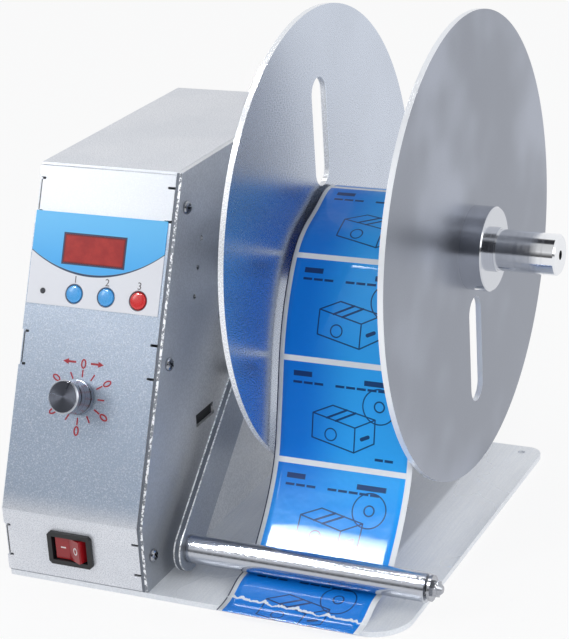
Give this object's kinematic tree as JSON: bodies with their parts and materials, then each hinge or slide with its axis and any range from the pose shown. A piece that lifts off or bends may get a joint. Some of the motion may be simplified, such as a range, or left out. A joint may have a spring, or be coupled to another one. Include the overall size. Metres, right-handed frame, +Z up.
{
  "type": "label rewinder",
  "caption": "Benchtop label rewinder: a sheet metal control box on a base plate turns a spindle with two large discs, and a swing arm with a roller guides the web onto it.",
  "frame": {"origin": "centre of the base plate's underside", "axes": "+X from the control box along the spindle to its free end, +Y to the back, +Z up"},
  "size_m": [0.2594, 0.2865, 0.275],
  "materials": {
    "base_steel": "brushed plate",
    "side_steel": "satin dark grey plate",
    "sheet_paint": "pale blue-grey coat with a fine grain",
    "zinc": "zinc plated",
    "machined_steel": "fine turned",
    "polished_shaft": "polished",
    "roller_chrome": "polished",
    "disc_aluminium": "fine grained satin",
    "hub_aluminium": "turned satin",
    "knob_aluminium": "turned and knurled",
    "arm_steel": "pale grained coat",
    "black_steel": "black oxide",
    "brass": "turned",
    "overlay": "printed film",
    "window": "red acrylic",
    "dark_plastic": "matt",
    "circuit_board": "solder mask",
    "led_lens": "moulded lens",
    "blue_button": "moulded",
    "red_button": "moulded",
    "red_rocker": "translucent moulded",
    "cardboard": "wound card",
    "paper": "printed labels on a paper web"
  },
  "bodies": {
    "chassis": {"base_plate": "base_steel", "base_screws": "zinc", "side_plate": "side_steel", "box_cover": "sheet_paint", "front_panel": "sheet_paint", "panel_screws": "zinc", "cover_screws": "zinc", "control_overlay": "overlay", "display_window": "window", "display_module": "dark_plastic", "control_board": "circuit_board", "board_standoffs": "brass", "indicator_led": "led_lens", "potentiometer": "zinc", "potentiometer_nut": "zinc", "switch_frame": "dark_plastic", "bearing_housing": "machined_steel", "housing_screws": "zinc", "spindle_bearings": "machined_steel", "gear_motor": "machined_steel", "motor_bracket": "side_steel", "bracket_posts": "zinc", "motor_screws": "zinc", "arm_pivot_pin": "machined_steel", "arm_pivot_screw": "zinc", "arm_pivot_nut": "zinc", "arm_stop_pins": "machined_steel", "arm_sensor": "dark_plastic", "power_supply": "circuit_board", "mains_inlet": "dark_plastic", "label_web": "paper"},
    "spindle": {"spindle_shaft": "polished_shaft", "inner_disc": "disc_aluminium", "inner_hub": "hub_aluminium", "inner_disc_screws": "zinc", "inner_set_screw": "black_steel", "core_tube": "cardboard", "label_roll": "paper", "drive_gear": "machined_steel", "gear_retaining_ring": "black_steel"},
    "outer_flange": {"outer_disc": "disc_aluminium", "outer_hub": "hub_aluminium", "outer_disc_screws": "zinc", "outer_set_screw": "black_steel"},
    "motor_output": {"motor_shaft": "machined_steel", "drive_pinion": "brass"},
    "arm": {"swing_arm": "arm_steel", "arm_bush": "brass", "roller_axle": "machined_steel", "roller_washer": "zinc", "axle_nut": "zinc"},
    "roller": {"roller_tube": "roller_chrome", "roller_bearings": "machined_steel"},
    "dial": {"speed_knob": "knob_aluminium", "dial_shaft": "zinc"},
    "rocker": {"switch_rocker": "red_rocker"},
    "key_1": {"button_1": "blue_button"},
    "key_2": {"button_2": "blue_button"},
    "key_3": {"button_3": "red_button"}
  },
  "joints": [
    {"name": "spindle_spin", "type": "hinge", "parent": "chassis", "child": "spindle", "pos_m": [0, 0.043, 0.15], "axis": [1, 0, 0], "continuous": true},
    {"name": "flange_slide", "type": "slide", "parent": "spindle", "child": "outer_flange", "axis": [1, 0, 0], "range_m": [0, 0.03]},
    {"name": "pinion_spin", "type": "hinge", "parent": "chassis", "child": "motor_output", "pos_m": [-0.05, 0.043, 0.118], "axis": [1, 0, 0], "continuous": true},
    {"name": "arm_swing", "type": "hinge", "parent": "chassis", "child": "arm", "pos_m": [-0.0175, 0.021, 0.11], "axis": [-1, 0, 0], "range_deg": [0, 30], "deforming": ["label_web"]},
    {"name": "roller_spin", "type": "hinge", "parent": "arm", "child": "roller", "pos_m": [0.05, -0.08649, 0.01721], "axis": [1, 0, 0], "continuous": true},
    {"name": "dial_turn", "type": "hinge", "parent": "chassis", "child": "dial", "pos_m": [-0.0723, -0.08889, 0.09678], "axis": [0, -0.9172, 0.3985], "range_deg": [-118, 162]},
    {"name": "switch_tip", "type": "hinge", "parent": "chassis", "child": "rocker", "pos_m": [-0.0713, -0.11, 0.0213], "axis": [0, 0, 1], "range_deg": [0, 24]},
    {"name": "key_1_press", "type": "slide", "parent": "chassis", "child": "key_1", "axis": [0, 0.9172, -0.3985], "range_m": [0, 0.001], "stiffness_N_per_m": 150},
    {"name": "key_2_press", "type": "slide", "parent": "chassis", "child": "key_2", "axis": [0, 0.9172, -0.3985], "range_m": [0, 0.001], "stiffness_N_per_m": 150},
    {"name": "key_3_press", "type": "slide", "parent": "chassis", "child": "key_3", "axis": [0, 0.9172, -0.3985], "range_m": [0, 0.001], "stiffness_N_per_m": 150}
  ],
  "couplings": [
    {"joint": "pinion_spin", "follows": "spindle_spin", "ratio": -3}
  ]
}
